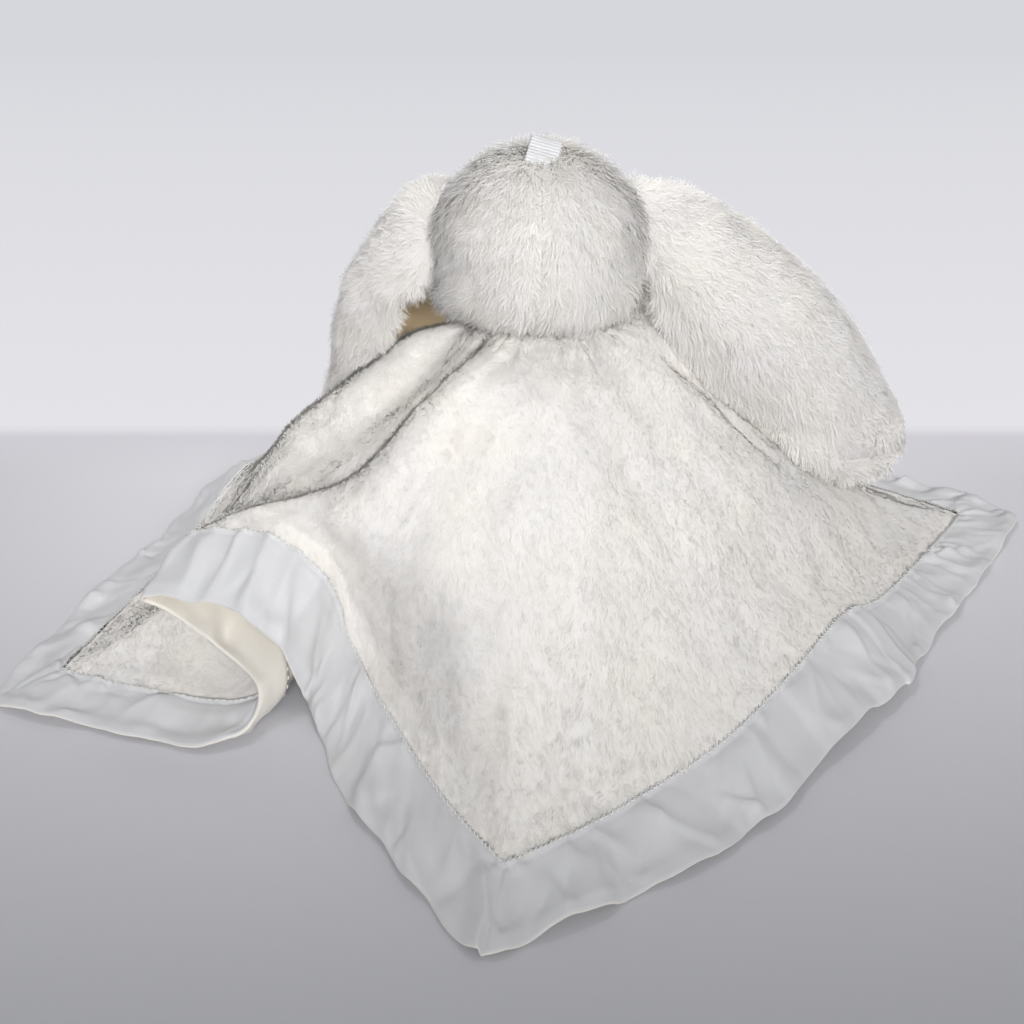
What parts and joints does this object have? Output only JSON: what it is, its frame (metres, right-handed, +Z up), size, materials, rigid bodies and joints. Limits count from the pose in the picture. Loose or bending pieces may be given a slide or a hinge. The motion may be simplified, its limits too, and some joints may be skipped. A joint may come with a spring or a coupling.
{
  "type": "comfort blanket lovey",
  "caption": "Square plush comfort blanket bound in satin, with a stuffed lop-eared bunny head sewn to its middle and a ribbon tab on the crown, lying draped with a folded hem.",
  "frame": {"origin": "middle of the footprint, on the surface that the hem rests on", "axes": "+Z up; the blanket's front corner and the back of the bunny's head towards -Y; the bunny's face towards +Y; +X to the right as seen from the front corner"},
  "size_m": [0.442, 0.4506, 0.1917],
  "materials": {
    "plush": "short dense plush pile, off white",
    "fur": "soft fur pile, off white",
    "lining": "smooth short-nap cloth, tan",
    "backing": "smooth satin cloth, cream white",
    "satin": "satin ribbon, white",
    "stuffing": "loose polyester fibre filling, white",
    "ribbon": "ribbed grosgrain ribbon, white",
    "eye_thread": "satin stitch, dark brown",
    "nose_thread": "satin stitch, dusty pink"
  },
  "bodies": {
    "blanket": {"blanket_plush": "plush", "blanket_backing": "backing", "satin_binding": "satin", "neck_collar": "plush", "neck_stuffing": "stuffing"},
    "head": {"head_back_left": "fur", "head_back_right": "fur", "head_face": "fur", "head_stuffing": "stuffing", "eye_left": "eye_thread", "eye_right": "eye_thread", "nose": "nose_thread"},
    "ear_left": {"ear_left_fur": "fur", "ear_left_lining": "lining"},
    "ear_right": {"ear_right_fur": "fur", "ear_right_lining": "lining"},
    "crown_tab": {"crown_ribbon_tab": "ribbon"}
  },
  "joints": [
    {"name": "head_tilt", "type": "hinge", "parent": "blanket", "child": "head", "pos_m": [-0.0152, 0.0041, 0.113], "axis": [1, 0, 0], "range_deg": [0, 15], "stiffness_Nm_per_rad": 0.05, "deforming": ["neck_collar", "neck_stuffing"]},
    {"name": "ear_left_lift", "type": "hinge", "parent": "head", "child": "ear_left", "pos_m": [-0.0512, 0.0161, 0.171], "axis": [0, 1, 0], "range_deg": [0, 80]},
    {"name": "ear_right_lift", "type": "hinge", "parent": "head", "child": "ear_right", "pos_m": [0.0228, 0.0141, 0.172], "axis": [0, -1, 0], "range_deg": [0, 80]},
    {"name": "crown_tab_flop", "type": "hinge", "parent": "head", "child": "crown_tab", "pos_m": [-0.0142, -0.0089, 0.1815], "axis": [0.9903, 0.1392, 0], "range_deg": [-45, 45], "stiffness_Nm_per_rad": 0.0001}
  ]
}
